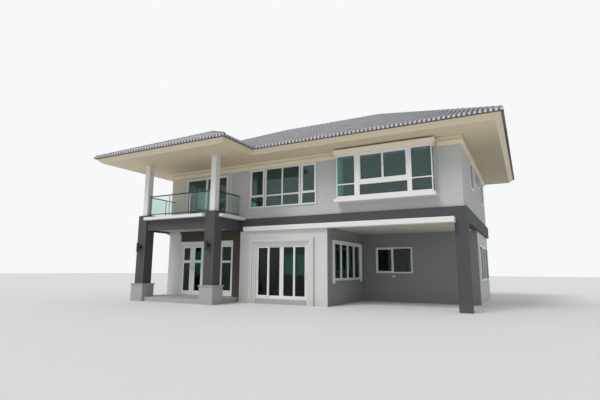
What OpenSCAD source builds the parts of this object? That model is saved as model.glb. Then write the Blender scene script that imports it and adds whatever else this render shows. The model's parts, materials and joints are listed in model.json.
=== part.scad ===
/* [House] */
// Depth of the main block over its outer wall faces
house_d = 8100; // [7600:10:9000]
// Width of the carport, from its left wall to the right corner of the house
carport_w = 4800; // [4600:10:5200]
// Width of the living room front
living_w = 3980; // [3800:10:4400]
// Width of the porch wing over its columns
wing_w = 4230; // [4130:10:4500]
// Thickness of the outer walls
wall_t = 150; // [120:5:180]
// Height of the ground floor above the ground
floor_z = 200; // [150:5:260]
// Underside of the dark beam band that runs round the first floor
band_z0 = 2920; // [2900:5:2960]
// Top of the dark beam band, which is the level of the upper floor
band_z1 = 3430; // [3410:5:3470]
// How far the dark beam band stands out from the walls
band_out = 90; // [60:5:110]
// Thickness of the upper floor slab
slab_t = 150; // [120:5:200]
/* [Living room front] */
// How far the living room front stands forward of the upper wall
living_out = 300; // [250:5:340]
// Underside of the long white ledge over the living room and carport
ledge_z0 = 2880; // [2860:5:2900]
// Thickness of the long white ledge
ledge_t = 180; // [140:5:200]
// How far the long white ledge stands forward of the upper wall
ledge_out = 450; // [400:5:500]
// Width of the sliding door with its frame
slide_w = 2320; // [2280:10:2400]
// Width of each fixed leaf in the middle of the sliding door
fixed_w = 630; // [600:5:660]
// Width of the raised portal round the sliding door
portal_w = 2920; // [2860:10:3000]
// Height of the portal
portal_z = 2540; // [2500:5:2600]
// How far the portal stands out from the wall
portal_out = 100; // [70:5:120]
/* [Carport] */
// Depth of the carport to the face of its back wall
carport_d = 3580; // [3400:10:3900]
// Width of the corner column over its front
corner_col_w = 400; // [340:5:440]
// Depth of the corner column
corner_col_d = 350; // [300:5:420]
/* [Porch and balcony] */
// How far the porch wing stands forward of the main block
wing_out = 1870; // [1700:10:2000]
// Width of a porch column
col_w = 490; // [440:5:520]
// Depth of a porch column
col_d = 440; // [400:5:480]
// Height of the dark porch columns
col_h = 3600; // [3570:5:3640]
// Width of a slim white post that carries the roof over the balcony
post_w = 250; // [200:5:300]
// Height of the low plinth round each porch column
plinth_h = 720; // [600:10:800]
// Top of the balcony handrail
rail_z = 4470; // [4400:5:4520]
/* [Entrance] */
// Distance from the left corner of the house to the frame of the entrance door
entry_in = 720; // [680:5:760]
// Height of the head of the entrance door's frame
entry_z = 2560; // [2520:5:2600]
// Width of each leaf of the entrance door
leaf_w = 640; // [600:5:680]
// Width of the uprights of a leaf
stile_w = 145; // [110:5:160]
// Width of the side window beside the entrance
side_light_w = 710; // [650:5:740]
/* [Roof] */
// Underside of the flat soffit, where the upper walls end
soffit_z = 5850; // [5830:5:5900]
// Overhang of the eaves beyond the walls on every side
eave_out = 1350; // [1250:10:1450]
// Run and height of the sloping board under the edge of the roof
fascia = 160; // [130:5:190]
// Rise of the roof per unit of run
pitch = 0.474; // [0.42:0.002:0.52]
// Thickness of the roof measured upright
roof_t = 75; // [60:5:90]
// Radius of the caps along ridge and hips
cap_r = 100; // [90:5:120]
/* [Windows] */
// Height of the head of the sliding door and the ground floor windows
head_z = 2300; // [2260:5:2340]
// Sill of the tall upper windows
up_sill_z = 3900; // [3850:5:3950]
// Head of the tall upper windows
up_head_z = 5520; // [5480:5:5530]
// Width of the window frames seen from the front
frame_w = 55; // [45:1:65]
// Width of the sash of an opening light seen from the front
sash_w = 32; // [26:1:40]
// Length of the box window
bay_w = 3660; // [3560:10:3720]
// Distance from the right corner of the house to the box window
bay_in = 800; // [700:10:900]
// How far the box window stands forward of the upper wall
bay_out = 440; // [400:5:480]
// Thickness of the glass panes
pane_t = 10; // [8:1:14]
// Running gap round each leaf that moves
gap = 6; // [6:0.5:8]

/* [Hidden] */

// Places along the front are counted from the right corner of the house, so they are negative to the left
t = wall_t;
living_step = 90;                           // the living room front starts this far right of the wing
house_w = carport_w + living_w + wing_w + living_step;
xl = -house_w;                              // outer face of the left wall
yb = house_d;                               // outer face of the back wall
lx1 = -carport_w;                           // right edge of the living room front
lx0 = lx1 - living_w;                       // left edge of the living room front
lmid = (lx0 + lx1)/2;
wx1 = xl + wing_w;                          // right face of the porch wing
wy = -wing_out;                             // front face of the porch columns
ly = -living_out;                           // face of the living room front
eave_z = soffit_z + fascia;                 // top of the sloping board
ex0 = xl - eave_out;                        // edges of the roof
ex1 = eave_out;
ey0 = -eave_out;
ey1 = yb + eave_out;
wex1 = wx1 + eave_out;
wey0 = wy - eave_out;
main_run = (ey1 - ey0)/2;                   // run of the main slopes from edge to ridge, and of the wing's
wing_run = (wex1 - ex0)/2;
grey_x = wx1 - 680;                         // where the grey upper front ends in the balcony
over = 1;                                   // cuts reach this far past a face

white = [0.92, 0.92, 0.90];
cream = [0.86, 0.83, 0.74];
grey = [0.62, 0.64, 0.65];
dusk = [0.42, 0.43, 0.44];
charcoal = [0.25, 0.27, 0.29];
brown = [0.20, 0.17, 0.14];
teal = [0.35, 0.60, 0.58, 0.5];
slate = [0.33, 0.33, 0.38];
steel = [0.70, 0.70, 0.72];
black = [0.06, 0.06, 0.07];

// The model's origin is on the ground under the middle of the roof's outline
module place() translate([house_w/2, (wing_out - house_d)/2, 0]) children();
// A block between two opposite corners
module box(a, b) translate(a) cube(b - a);
// A block that spans x0 to x1 in any order
module span(x0, x1, a, b) box([min(x0, x1), a[0], a[1]], [max(x0, x1), b[0], b[1]]);

// Windows. Each row is [start, end, sill, head, uprights as shares of the width, height of the rail or 0,
// lights that open as [column, row]]; start and end run along x or y
rail_up = 470;                              // the rail of a tall upper window is this far over its sill
up_z = [up_sill_z - 20, up_head_z + 20, up_sill_z + rail_up];
front_wins = [
  [lmid - 1750, lmid - 1020, up_z[0], up_z[1], [], up_z[2], [[0, 1]]],
  [lmid - 980, lmid + 680, up_z[0], up_z[1], [0.5], up_z[2], []],
  [lmid + 720, lmid + 1400, up_z[0], up_z[1], [], up_z[2], [[0, 1]]]];
side_a = [2200, 3200];                      // front and rear windows of the right wall's upper floor
side_c = [yb - 1700, yb - 900];
side_b_w = 1500;                            // long low window between them
side_b_m = (side_a[1] + side_c[0])/2;
low_h = 620;
right_up_wins = [
  [side_a[0], side_a[1], up_sill_z + 500, up_head_z, [], 0, [[0, 0]]],
  [side_b_m - side_b_w/2, side_b_m + side_b_w/2, up_head_z - low_h, up_head_z, [0.5], 0, []],
  [side_c[0], side_c[1], up_sill_z + 500, up_head_z, [], 0, [[0, 0]]]];
left_front = [side_a[0] - 600, side_a[1] + 200];
left_rear = [side_c[0] - 800, side_c[1]];
rear_left = [xl + 1500, xl + 3300];
rear_right = [-3900, -1500];
left_up_wins = [for (p = [left_front, left_rear])
  [p[0], p[1], up_sill_z, up_head_z, [0.5], up_z[2], [[0, 1]]]];
back_up_wins = [
  [rear_left[0], rear_left[1], up_sill_z, up_head_z, [0.5], up_z[2], [[0, 1]]],
  [lmid - 300, lmid + 300, up_head_z - low_h, up_head_z, [], 0, [[0, 0]]],
  [rear_right[0], rear_right[1], up_sill_z, up_head_z, [1/3, 2/3], up_z[2], [[0, 1], [2, 1]]]];
sill_z = 930;
right_g_wins = [[carport_d + t + 160, yb - 600, sill_z, head_z + 80, [1/3, 2/3], 0, [[1, 0]]]];
left_g_wins = [for (p = [left_front, left_rear]) [p[0], p[1], sill_z, head_z, [0.5], 0, [[0, 0]]]];
back_g_wins = [
  [rear_left[0], rear_left[1], sill_z, head_z, [0.5], 0, [[0, 0]]],
  [rear_right[0], rear_right[1], sill_z, head_z, [1/3, 2/3], 0, [[1, 0]]]];
fin_t = 50;                                 // fin round the carport's long window
fin_out = 90;
fin_leg = 100;                              // its legs reach this far below the sill
fin_y = [160, 3160];
fin_z = head_z + 160;
cl_win = [[fin_y[0] + fin_t, fin_y[1] - fin_t, sill_z, fin_z - fin_t, [0.25, 0.5, 0.75], 0,
  [[0, 0], [1, 0], [2, 0], [3, 0]]]];
cb_win = [[lx1 + 600, lx1 + 2200, 1210, head_z + 20, [0.47], 0, [[0, 0]]]];
balcony_door_w = 2400;
balcony_door_x = grey_x - 185;              // right side of the balcony door, near the grey front's end
balcony_door = [[balcony_door_x - balcony_door_w, balcony_door_x, band_z1, up_head_z - 60, [0.5], 0,
  [[0, 0], [1, 0]]]];

// Holes for a list of windows in a wall that runs along x, and along y
module holes_x(list, y0, y1) for (w = list) box([w[0], y0 - over, w[2]], [w[1], y1 + over, w[3]]);
module holes_y(list, x0, x1) for (w = list) box([x0 - over, w[0], w[2]], [x1 + over, w[1], w[3]]);

frame_d = 100;
frame_p = 45;                               // how far a frame stands proud of its wall
sash_step = 12;                             // a sash stands back from the face of its frame
// The lights of a window: [x0, x1, z0, z1, width of its sash or 0]
function sash_of(w, i, r) = len([for (s = w[6]) if (s == [i, r]) 1]) > 0 ? sash_w : 0;
function cells(w, f) = let (n = len(w[4]), cuts = concat([0], w[4], [1]), wd = w[1] - w[0] - 2*f)
  [for (i = [0 : n])
    let (a = w[0] + f + wd*cuts[i] + (i == 0 ? 0 : f/2), b = w[0] + f + wd*cuts[i + 1] - (i == n ? 0 : f/2))
    each w[5] == 0
      ? [[a, b, w[2] + f, w[3] - f, sash_of(w, i, 0)]]
      : [[a, b, w[2] + f, w[5] - f/2, sash_of(w, i, 0)], [a, b, w[5] + f/2, w[3] - f, sash_of(w, i, 1)]]];
// One window frame in the plane of x and z, from its face at depth 0 inwards
module win_frame(w) difference() {
  box([w[0], 0, w[2]], [w[1], frame_d, w[3]]);
  for (c = cells(w, frame_w)) {
    s = c[4];
    box([c[0] + s, -over, c[2] + s], [c[1] - s, frame_d + over, c[3] - s]);
    if (s > 0) for (y = [[-over, sash_step], [frame_d - sash_step, frame_d + over]])
      box([c[0], y[0], c[2]], [c[1], y[1], c[3]]);
  }
}
// The panes of the same window, set in the middle of its frame
module win_panes(w) for (c = cells(w, frame_w))
  box([c[0] + c[4], frame_d/2 - pane_t/2, c[2] + c[4]], [c[1] - c[4], frame_d/2 + pane_t/2, c[3] - c[4]]);
// Windows of the four walls; part 0 is the frames and part 1 the panes
module win(w, part) { if (part == 0) win_frame(w); else win_panes(w); }
module wins_front(list, y, part) for (w = list) translate([0, y - frame_p, 0]) win(w, part);
module wins_back(list, y, part) for (w = list) translate([0, y + frame_p, 0]) mirror([0, 1, 0]) win(w, part);
module wins_right(list, x, part) for (w = list)
  translate([x + frame_p, 0, 0]) rotate([0, 0, 90]) win(w, part);
module wins_left(list, x, part) for (w = list)
  translate([x - frame_p, 0, 0]) mirror([1, 0, 0]) rotate([0, 0, 90]) win(w, part);

// Entrance door and the narrow window beside it
jamb = 60;
meet = 10;                                  // gap between two leaves that meet
head_board = 160;                           // board over the leaves, as part of the frame
dx0 = xl + entry_in;
dx1 = dx0 + 2*leaf_w + 2*gap + meet + 2*jamb;
side_gap = 510;                             // from the side window to the corner of the wing
sl_x1 = wx1 - side_gap;
sl_x0 = sl_x1 - side_light_w;
dy0 = 40;
leaf_t = 40;
hy = dy0 + leaf_t;                          // inner face of the leaves and of their frame
lz0 = floor_z + 20 + gap;
lz1 = entry_z - head_board - gap;
mid_rail = [1610, 1730];                    // rail between the two lights of a leaf
low_light = lz0 + 160;
top_light = lz1 - 110;
hx_l = dx0 + jamb + gap;                    // hinge edges of the two leaves
hx_r = dx1 - jamb - gap;

// Sliding door
slide_off = 20;                             // its middle lies this far left of the middle of the front
smid = lmid - slide_off;
sx0 = smid - slide_w/2;
sx1 = smid + slide_w/2;
sf = 50;                                    // width of its frame
st = 40;                                    // thickness of a leaf
sy0 = ly + 20;                              // face of the frame
sly = sy0 + gap;                            // face of the sliding leaves, in front of the fixed ones
sfy = sly + st + gap;                       // face of the fixed leaves
sfd = sfy + st + gap - sy0;                 // depth of the frame
s_lap = 80;                                 // a sliding leaf laps the fixed one behind it
s_top = 50;                                 // rails of the leaves
s_low = 75;
s_stile = 80;
slz0 = floor_z + sf + gap;
slz1 = head_z - sf - gap;
sjl = sx0 + sf + gap;                       // outer edges of the sliding leaves
sjr = sx1 - sf - gap;

// Portal and stepped moulding round the sliding door
po0 = smid - portal_w/2;
po1 = smid + portal_w/2;
portal_side = 150;
portal_head = 120;
pi0 = po0 + portal_side;
pi1 = po1 - portal_side;
piz = portal_z - portal_head;
groove = 12;
groove_z = [1210, 2310];
mould_out = [60, 25];                       // its outer and inner steps stand out this far from the wall

// Ground floor
module ground_floor() color(grey) place() union() {
  box([xl + t, t, 0], [lx1 - t, yb - t, floor_z]);
  box([lx1 - t - over, carport_d + t, 0], [-t, yb - t, floor_z]);
  box([lx0 + t, ly + t, 0], [lx1 - t, t + over, floor_z]);
  box([sx0, ly, 0], [sx1, ly + t + over, floor_z]);
  box([dx0, 0, 0], [dx1, t + over, floor_z]);
}
plinth_o = 90;                              // a plinth stands this far out of its column
porch_in = 40;
module porch_floor() color(grey) place() difference() {
  box([xl + porch_in, wy + porch_in, 0], [wx1 - porch_in, 0, floor_z - 30]);
  for (x = [xl, wx1 - col_w])
    box([x - plinth_o, wy - plinth_o, -over], [x + col_w + plinth_o, wy + col_d + plinth_o, floor_z]);
}

module entrance_wall_left() color(white) place() box([xl, 0, 0], [dx0, t, band_z0]);
module entrance_wall_right() color(brown) place() difference() {
  box([dx1, 0, 0], [lx0, t, entry_z]);
  box([sl_x0, -over, floor_z], [sl_x1, t + over, entry_z + over]);
}
module entrance_panel() color(brown) place() box([dx0, 0, entry_z], [lx0, t, band_z0]);

module grooves(x0, x1) for (z = groove_z) box([x0, ly - over, z], [x1, ly + groove, z + groove]);
module living_wall_left() color(white) place() difference() {
  union() {
    box([lx0, ly, 0], [sx0, ly + t, ledge_z0]);
    box([lx0, ly + t - over, 0], [lx0 + t, 0, ledge_z0]);
    box([po0, ly - portal_out, 0], [pi0, ly + over, portal_z]);
  }
  grooves(lx0 - over, po0);
}
module living_wall_right() color(white) place() difference() {
  union() {
    box([sx1, ly, 0], [lx1, ly + t, ledge_z0]);
    box([pi1, ly - portal_out, 0], [po1, ly + over, portal_z]);
  }
  grooves(po1, lx1 + over);
}
module living_lintel() color(white) place() {
  box([sx0, ly, head_z], [sx1, ly + t, ledge_z0]);
  box([pi0, ly - portal_out, piz], [pi1, ly, portal_z]);
}
// Inverted U round the sliding door's opening, of the given border and depth
module slide_u(border, depth) difference() {
  box([sx0 - border, ly - depth, 0], [sx1 + border, ly, head_z + border]);
  box([sx0, ly - depth - over, -over], [sx1, ly + over, head_z]);
}
module slide_surround() color(cream) place() union() {
  slide_u((sx0 - pi0)/2, mould_out[1]);
  difference() {
    box([pi0, ly - mould_out[0], 0], [pi1, ly, piz]);
    box([(pi0 + sx0)/2, ly - mould_out[0] - over, -over], [(pi1 + sx1)/2, ly + over, (piz + head_z)/2]);
  }
}

module left_wall() color(white) place() difference() {
  box([xl, t, 0], [xl + t, yb - t, band_z0]);
  holes_y(left_g_wins, xl, xl + t);
}
module back_wall() color(white) place() difference() {
  box([xl, yb - t, 0], [0, yb, band_z0]);
  holes_x(back_g_wins, yb - t, yb);
}
module right_wall() color(white) place() difference() {
  box([-t, carport_d + t, 0], [0, yb - t, band_z0]);
  holes_y(right_g_wins, -t, 0);
}
module carport_left_wall() color(dusk) place() difference() {
  box([lx1 - t, ly + t, 0], [lx1, carport_d, band_z0]);
  box([lx1 - t - over, ly + t - over, ledge_z0], [lx1 + over, -band_out, band_z0 + over]);
  holes_y(cl_win, lx1 - t, lx1);
}
module carport_back_wall() color(dusk) place() difference() {
  box([lx1 - t, carport_d, 0], [0, carport_d + t, band_z0]);
  holes_x(cb_win, carport_d, carport_d + t);
}
module carport_column() color(charcoal) place()
  box([band_out - corner_col_w, -band_out, 0], [band_out, corner_col_d - band_out, band_z0]);
ceil_t = 30;
light_r = 60;
light_rim = 78;
light_bore = 48;
light_h = 6;
lights = [[-2630, 1900], [-2250, 1850]];
module carport_ceiling() color(grey) place() difference() {
  box([lx1 - t, t, band_z0], [-t, carport_d + t, band_z0 + ceil_t]);
  for (p = lights) translate([p[0], p[1], band_z0 - over])
    cylinder(r = light_r, h = ceil_t + 2*over, $fn = 48);
}
module downlights() color(white) place() for (p = lights) translate([p[0], p[1], band_z0 - light_h])
  difference() {
    union() {
      cylinder(r = light_r, h = ceil_t + light_h, $fn = 48);
      cylinder(r = light_rim, h = light_h, $fn = 48);
    }
    translate([0, 0, -over]) cylinder(r = light_bore, h = 3*light_h, $fn = 48);
  }

// Porch
module column(x) box([x, wy, 0], [x + col_w, wy + col_d, col_h]);
module porch_columns() color(charcoal) place() { column(xl); column(wx1 - col_w); }
plinth_cap = 45;
plinth_lip = 30;
module plinth_block(x, o, z0, z1) box([x - o, wy - o, z0], [x + col_w + o, wy + col_d + o, z1]);
module plinth(x) difference() {
  union() {
    plinth_block(x, plinth_o, 0, plinth_h - plinth_cap + over);
    plinth_block(x, plinth_o + plinth_lip, plinth_h - plinth_cap, plinth_h);
  }
  box([x, wy, -over], [x + col_w, wy + col_d, plinth_h + over]);
}
module porch_plinths() color(grey) place() { plinth(xl); plinth(wx1 - col_w); }
beam_w = 200;
beam_in = 60;                               // beams stand back from the faces of the columns
beam_z = band_z0 + 30;
module porch_beams() color(charcoal) place() {
  box([xl + col_w, wy + beam_in, beam_z], [wx1 - col_w, wy + beam_in + beam_w, band_z1]);
  box([wx1 - beam_in - beam_w, wy + col_d, beam_z], [wx1 - beam_in, -band_out, band_z1]);
  box([xl + beam_in, wy + col_d, beam_z], [xl + beam_in + beam_w, -band_out, band_z1]);
}
bi0 = xl + beam_in + beam_w;                // inner faces of the porch beams
bi1 = wx1 - beam_in - beam_w;
bif = wy + beam_in + beam_w;
module within_porch(z0, z1) difference() {
  box([bi0, bif, z0], [bi1, -band_out, z1]);
  column(xl);
  column(wx1 - col_w);
}
porch_ceil_z = band_z0 + 100;
module porch_ceiling() color(white) place() within_porch(porch_ceil_z, porch_ceil_z + ceil_t);
// Wall lamps: a tube that is open above and below, held off the column by an arm on a plate
lamp_z = 2040;
lamp_h = 380;
lamp_r = 60;
lamp_wall = 4;
lamp_off = 165;
plate_t = 15;
module wall_lamps() color(black) place() for (x = [xl, wx1 - col_w]) translate([x + col_w/2, wy, lamp_z])
  difference() {
    union() {
      box([-50, -plate_t, 60], [50, 0, lamp_h - 60]);
      box([-20, -lamp_off, lamp_h/2 - 50], [20, -plate_t + over, lamp_h/2 + 50]);
      translate([0, -lamp_off, 0]) cylinder(r = lamp_r, h = lamp_h, $fn = 48);
    }
    for (z = [-over, lamp_h/2 + 60]) translate([0, -lamp_off, z])
      cylinder(r = lamp_r - lamp_wall, h = lamp_h/2 - 60 + over, $fn = 48);
  }

// First floor
module upper_floor() color(grey) place() box([xl + t, t, band_z1 - slab_t], [-t, yb - t, band_z1]);
module floor_band() color(charcoal) place() difference() {
  box([xl - band_out, -band_out, band_z0], [band_out, yb + band_out, band_z1]);
  box([xl + t, t, band_z0 - over], [-t, yb - t, band_z1 + over]);
}
ledge_in = 230;                             // the ledge starts this far right of the living room's corner
ledge_lap = 40;                             // and runs this far onto the face of the corner column
module front_ledge() color(white) place()
  box([lx0 + ledge_in, -ledge_out, ledge_z0],
    [band_out - corner_col_w + ledge_lap, -band_out, ledge_z0 + ledge_t]);
module balcony_slab() color(grey) place() within_porch(band_z1 - slab_t, band_z1);
edge_z = band_z1 - 50;
edge_h = 120;
edge_out = 180;
module edge_cut(x0, x1, y1) box([x0, wy - edge_out - over, edge_z - over], [x1, y1, edge_z + edge_h + over]);
module balcony_edge() color(white) place() difference() {
  box([xl - edge_out, wy - edge_out, edge_z], [wx1 + edge_out, -band_out, edge_z + edge_h]);
  box([xl + beam_in, wy + beam_in, edge_z - over], [wx1 - beam_in, over, band_z1]);
  box([bi0, bif, edge_z - over], [bi1, over, edge_z + edge_h + over]);
  column(xl);
  column(wx1 - col_w);
  edge_cut(xl - edge_out - over, xl + col_w/2, wy + col_d/2);
  edge_cut(wx1 - col_w/2, wx1 + edge_out + over, wy + col_d/2);
  edge_cut(xl, xl + col_w, wy);
  edge_cut(wx1 - col_w, wx1, wy);
}
px = [xl + (col_w - post_w)/2, wx1 - (col_w + post_w)/2];
py = wy + (col_d - post_w)/2;
pm = post_w/2;                              // rails and glass stand on the middle of the posts
module balcony_posts() color(white) place() for (x = px)
  box([x, py, col_h], [x + post_w, py + post_w, soffit_z]);
rail_h = 40;
rail_d = 50;
low_z = col_h + 40;                         // underside of the low rail
low_h2 = 30;
module rail_run(z, h) {
  box([px[0] + post_w, py + pm - rail_d/2, z], [px[1], py + pm + rail_d/2, z + h]);
  for (x = px) box([x + pm - rail_d/2, py + post_w, z], [x + pm + rail_d/2, 0, z + h]);
}
module balcony_rails() color(black) place() {
  rail_run(rail_z - rail_h, rail_h);
  rail_run(low_z, low_h2);
}
g_z0 = low_z + low_h2;
g_z1 = rail_z - rail_h;
stile = 30;                                 // uprights between the panes
side_post_y = -600;
front_n = 3;
front_step = round((px[1] - px[0] - post_w)/front_n);
module upright(x, y) {
  box([x - stile/2, y - stile/2, edge_z + edge_h], [x + stile/2, y + stile/2, low_z]);
  box([x - stile/2, y - stile/2, g_z0], [x + stile/2, y + stile/2, g_z1]);
}
module balcony_stanchions() color(steel) place() {
  for (i = [1 : front_n - 1]) upright(px[0] + post_w + front_step*i, py + pm);
  for (x = px) upright(x + pm, side_post_y);
}
module balcony_glass() color(teal) place() {
  for (i = [0 : front_n - 1]) {
    a = px[0] + post_w + front_step*i + (i == 0 ? 0 : stile/2);
    b = i == front_n - 1 ? px[1] : px[0] + post_w + front_step*(i + 1) - stile/2;
    box([a, py + pm - pane_t/2, g_z0], [b, py + pm + pane_t/2, g_z1]);
  }
  for (x = px) for (y = [[py + post_w, side_post_y - stile/2], [side_post_y + stile/2, 0]])
    box([x + pm - pane_t/2, y[0], g_z0], [x + pm + pane_t/2, y[1], g_z1]);
}
module balcony_wall() color(cream) place() difference() {
  box([xl, 0, band_z1], [grey_x, t, soffit_z]);
  holes_x(balcony_door, 0, t);
}

// Box window
bx1 = -bay_in;
bx0 = bx1 - bay_w;
bay_z0 = up_sill_z - 90;                    // underside of its sill
bay_z1 = soffit_z - 70;                     // top of its hood
sill_t = 120;
hood_t = 190;
hood_lip = 60;                              // the top of the hood stands out as a lip
lip_out = 30;
bs = 80;                                    // the glazing stands back from the ends of sill and hood
bf = 60;
corner_w = 32;                              // width of its corner posts
bfz0 = bay_z0 + sill_t;
bfz1 = bay_z1 - hood_t;
ba = [bx0 + bs, -bay_out + bs];             // outer faces of the glazing
bb = bx1 - bs;
in0 = ba[0] + corner_w;
in1 = bb - corner_w;
mid0 = bx0 + 785;                           // edges of the wide middle part
mid1 = bx1 - 780;
m0 = mid0 + 200;
m1 = mid1 - 160;
mc = (mid0 + mid1)/2 + 20;
back_gap = 50;                              // the end lights stop this far from the wall
// Heights of the low and tall lights: at the ends of the front, and in its middle
low_l = [bfz0 + 90, bfz0 + 510];
tall_l = [bfz0 + 550, bfz1 - 70];
low_m = [bfz0 + 90, bfz0 + 470];
tall_m = [bfz0 + 630, bfz1 - 70];
bay_sash = 35;
// Lights of the front: [x0, x1, heights, width of the sash or 0]
bay_lights = [
  [in0, mid0, low_l, 0], [in0, mid0, tall_l, 0],
  [m0, m1, low_m, 0],
  [m0, mc, tall_m, bay_sash], [mc, m1, tall_m, bay_sash],
  [mid1, in1, low_l, 0], [mid1, in1, tall_l, 0]];
module bay_casing() {
  box([bx0, -bay_out, bay_z0], [bx1, 0, bay_z0 + sill_t]);
  box([bx0, -bay_out, bay_z1 - hood_t], [bx1, 0, bay_z1]);
  box([bx0 - lip_out, -bay_out - lip_out, bay_z1 - hood_lip], [bx1 + lip_out, 0, bay_z1]);
}
module bay_frame() difference() {
  box([ba[0], ba[1], bfz0], [bb, 0, bfz1]);
  box([in0, ba[1] + bf, bfz0 - over], [in1, over, bfz1 + over]);
  for (p = bay_lights) {
    z = p[2];
    s = p[3];
    box([p[0] + s, ba[1] - over, z[0] + s], [p[1] - s, ba[1] + bf + over, z[1] - s]);
    if (s > 0) box([p[0], ba[1] - over, z[0]], [p[1], ba[1] + sash_step, z[1]]);
  }
  for (z = [low_l, tall_l]) box([ba[0] - over, ba[1] + bf, z[0]], [bb + over, -back_gap, z[1]]);
}
module box_window() color(white) place() { bay_casing(); bay_frame(); }
module bay_glass() {
  y = ba[1] + bf/2 - pane_t/2;
  for (p = bay_lights) {
    z = p[2];
    s = p[3];
    box([p[0] + s, y, z[0] + s], [p[1] - s, y + pane_t, z[1] - s]);
  }
  for (x = [ba[0] + corner_w/2 - pane_t/2, bb - corner_w/2 - pane_t/2]) for (z = [low_l, tall_l])
    box([x, ba[1] + bf, z[0]], [x + pane_t, -back_gap, z[1]]);
}

// Upper walls
bay_hole = 160;                             // the opening behind the box window is this much smaller
module upper_wall_front() color(grey) place() difference() {
  box([grey_x, 0, band_z1], [0, t, soffit_z]);
  holes_x(front_wins, 0, t);
  box([bx0 + bay_hole, -over, bfz0 + 70], [bx1 - bay_hole, t + over, bfz1 - 50]);
}
module upper_wall_right() color(grey) place() difference() {
  box([-t, t, band_z1], [0, yb - t, soffit_z]);
  holes_y(right_up_wins, -t, 0);
}
module upper_wall_left() color(grey) place() difference() {
  box([xl, t, band_z1], [xl + t, yb - t, soffit_z]);
  holes_y(left_up_wins, xl, xl + t);
}
module upper_wall_back() color(grey) place() difference() {
  box([xl, yb - t, band_z1], [0, yb, soffit_z]);
  holes_x(back_up_wins, yb - t, yb);
}
// Moulding under the soffit: a band and a smaller step above it
cor_z1 = soffit_z - 130;
cor_z0 = cor_z1 - 170;
cor_out = 75;
module ring(o, z0, z1) box([xl - o, -o, z0], [o, yb + o, z1]);
module cornice() color(cream) place() difference() {
  union() {
    ring(cor_out, cor_z0, cor_z1);
    ring(cor_out/2, cor_z1 - over, soffit_z);
  }
  ring(0, cor_z0 - over, soffit_z + over);
  box([bx0 - lip_out, -cor_out - over, cor_z0 - over], [bx1 + lip_out, over, soffit_z + over]);
}

// Roof
// Solid under a hipped roof over the main block and the wing, cut level at z0, with its edge at height e
wing_reach = 900;                           // the wing's roof runs this far into the main one
module hips(z0, e) union() {
  h = main_run;
  k = wing_run;
  r = ey0 + k + wing_reach;
  intersection() {
    translate([ex0, 0, 0]) rotate([90, 0, 90]) linear_extrude(ex1 - ex0)
      polygon([[ey0, z0], [ey1, z0], [ey1, e], [ey0 + h, e + h*pitch], [ey0, e]]);
    translate([0, ey1, 0]) rotate([90, 0, 0]) linear_extrude(ey1 - ey0)
      polygon([[ex0, z0], [ex1, z0], [ex1, e], [ex1 - h, e + h*pitch], [ex0 + h, e + h*pitch], [ex0, e]]);
  }
  intersection() {
    translate([0, r, 0]) rotate([90, 0, 0]) linear_extrude(r - wey0)
      polygon([[ex0, z0], [wex1, z0], [wex1, e], [wex1 - k, e + k*pitch], [ex0, e]]);
    translate([ex0, 0, 0]) rotate([90, 0, 90]) linear_extrude(wex1 - ex0)
      polygon([[wey0, z0], [r, z0], [r, e + k*pitch], [wey0 + k, e + k*pitch], [wey0, e]]);
  }
}
roof_lap = 20;                              // the roof's shell starts this far below the top of the board
roof_e = eave_z - roof_lap + roof_t;        // height of its top at the edge
module roof() color(slate) place() difference() {
  hips(eave_z - roof_lap - 5, roof_e);
  hips(eave_z - roof_lap - 6, eave_z - roof_lap);
}
// Outline across the boxed eaves from a to b: sides lean in from the roof's edge down to the soffit
function lean_line(a, b, z0, z1) = let (f = fascia)
  [[a + f, z0], [b - f, z0], [b, z0 + f], [b, z1], [a, z1], [a, z0 + f]];
module lean(x0, x1, y0, y1, z0, z1) intersection() {
  translate([x0, 0, 0]) rotate([90, 0, 90]) linear_extrude(x1 - x0) polygon(lean_line(y0, y1, z0, z1));
  translate([0, y1, 0]) rotate([90, 0, 0]) linear_extrude(y1 - y0) polygon(lean_line(x0, x1, z0, z1));
}
module eave_form(in, z0, z1) {
  lean(ex0 + in, ex1 - in, ey0 + in, ey1 - in, z0, z1);
  lean(ex0 + in, wex1 - in, wey0 + in, ey0 + 3*fascia + wing_reach, z0, z1);
}
board = 30;
module eaves() color(cream) place() intersection() {
  difference() {
    eave_form(0, soffit_z, eave_z + 2*board);
    translate([0, 0, board]) eave_form(board, soffit_z, eave_z + 2*board);
  }
  hips(soffit_z - over, eave_z - roof_lap);
}
// Caps along the ridges and hips
module cap(a, b) {
  d = b - a;
  len = norm(d);
  translate(a) rotate([0, acos(d[2]/len), atan2(d[1], d[0])]) cylinder(r = cap_r, h = len, $fn = 8);
}
module ridge_caps() color(slate) place() difference() {
  union() {
    h = main_run;
    k = wing_run;
    e = roof_e;
    top = e + h*pitch;
    wt = e + k*pitch;
    cap([ex0 + h, ey0 + h, top], [ex1 - h, ey0 + h, top]);
    cap([ex1, ey0, e], [ex1 - h, ey0 + h, top]);
    cap([ex1, ey1, e], [ex1 - h, ey0 + h, top]);
    cap([ex0, ey1, e], [ex0 + h, ey0 + h, top]);
    cap([ex0 + k, ey0 + k, wt], [ex0 + h, ey0 + h, top]);
    cap([ex0 + k, wey0 + k, wt], [ex0 + k, ey0 + k, wt]);
    cap([ex0, wey0, e], [ex0 + k, wey0 + k, wt]);
    cap([wex1, wey0, e], [ex0 + k, wey0 + k, wt]);
  }
  hips(eave_z - 4*cap_r, roof_e);
  box([ex0 - 5*cap_r, wey0 - 5*cap_r, eave_z - 5*cap_r],
    [ex1 + 5*cap_r, ey1 + 5*cap_r, eave_z - roof_lap - 5]);
}

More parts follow.
